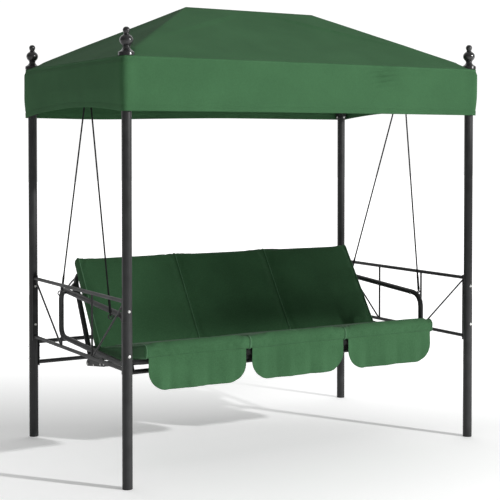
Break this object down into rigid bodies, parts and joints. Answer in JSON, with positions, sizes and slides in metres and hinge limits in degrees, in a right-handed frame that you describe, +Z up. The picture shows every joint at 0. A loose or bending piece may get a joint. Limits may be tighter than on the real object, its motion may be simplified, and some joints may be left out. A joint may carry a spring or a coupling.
{
  "type": "canopy swing bench",
  "caption": "Garden swing bench on ropes under a hipped fabric canopy, with a reclining padded backrest and a tube frame.",
  "frame": {"origin": "on the floor, at the middle of the four feet", "axes": "+Z up; -Y is the front, where people sit down; +X is to the right seen from the front"},
  "size_m": [1.8688, 1.1336, 2.05],
  "materials": {
    "black_paint": "satin black powder coat",
    "black_gloss": "glossy",
    "black_plastic": "matt",
    "black_rope": "braided",
    "black_cloth": "coarse open weave",
    "green_cloth": "matt woven polyester",
    "zinc": "bright zinc plate"
  },
  "bodies": {
    "frame": {"lower_post_front_left": "black_paint", "upper_post_front_left": "black_paint", "foot_cap_front_left": "black_plastic", "finial_front_left": "black_gloss", "rafter_front_left": "black_paint", "lower_post_front_right": "black_paint", "upper_post_front_right": "black_paint", "foot_cap_front_right": "black_plastic", "finial_front_right": "black_gloss", "rafter_front_right": "black_paint", "lower_post_rear_left": "black_paint", "upper_post_rear_left": "black_paint", "foot_cap_rear_left": "black_plastic", "finial_rear_left": "black_gloss", "rafter_rear_left": "black_paint", "lower_post_rear_right": "black_paint", "upper_post_rear_right": "black_paint", "foot_cap_rear_right": "black_plastic", "finial_rear_right": "black_gloss", "rafter_rear_right": "black_paint", "side_panel_left": "black_paint", "side_panel_right": "black_paint", "rear_panel": "black_paint", "roof_rail_front": "black_paint", "roof_rail_rear": "black_paint", "roof_beam_left": "black_paint", "roof_beam_right": "black_paint", "ridge_bar": "black_paint", "canopy": "green_cloth", "hanger_pin_left": "zinc", "hanger_pin_right": "zinc"},
    "swing": {"hanger_plate_left": "black_paint", "rope_front_left": "black_rope", "rope_eye_front_left": "black_paint", "rope_rear_left": "black_rope", "rope_eye_rear_left": "black_paint", "armrest_left": "black_paint", "hinge_plate_left": "black_paint", "hinge_pin_left": "zinc", "hanger_plate_right": "black_paint", "rope_front_right": "black_rope", "rope_eye_front_right": "black_paint", "rope_rear_right": "black_rope", "rope_eye_rear_right": "black_paint", "armrest_right": "black_paint", "hinge_plate_right": "black_paint", "hinge_pin_right": "zinc", "seat_frame": "black_paint", "seat_sling": "black_cloth", "seat_cushion_left": "green_cloth", "seat_cushion_middle": "green_cloth", "seat_cushion_right": "green_cloth"},
    "backrest": {"backrest_frame": "black_paint", "backrest_sling": "black_cloth", "recline_plate_left": "black_paint", "recline_plate_right": "black_paint", "back_cushion_left": "green_cloth", "back_cushion_middle": "green_cloth", "back_cushion_right": "green_cloth"}
  },
  "joints": [
    {"name": "swing", "type": "hinge", "parent": "frame", "child": "swing", "pos_m": [0, -0.064, 1.747], "axis": [1, 0, 0], "range_deg": [-20, 20]},
    {"name": "backrest_recline", "type": "hinge", "parent": "swing", "child": "backrest", "pos_m": [0, 0.154, 0.402], "axis": [1, 0, 0], "range_deg": [-14, 0]}
  ]
}
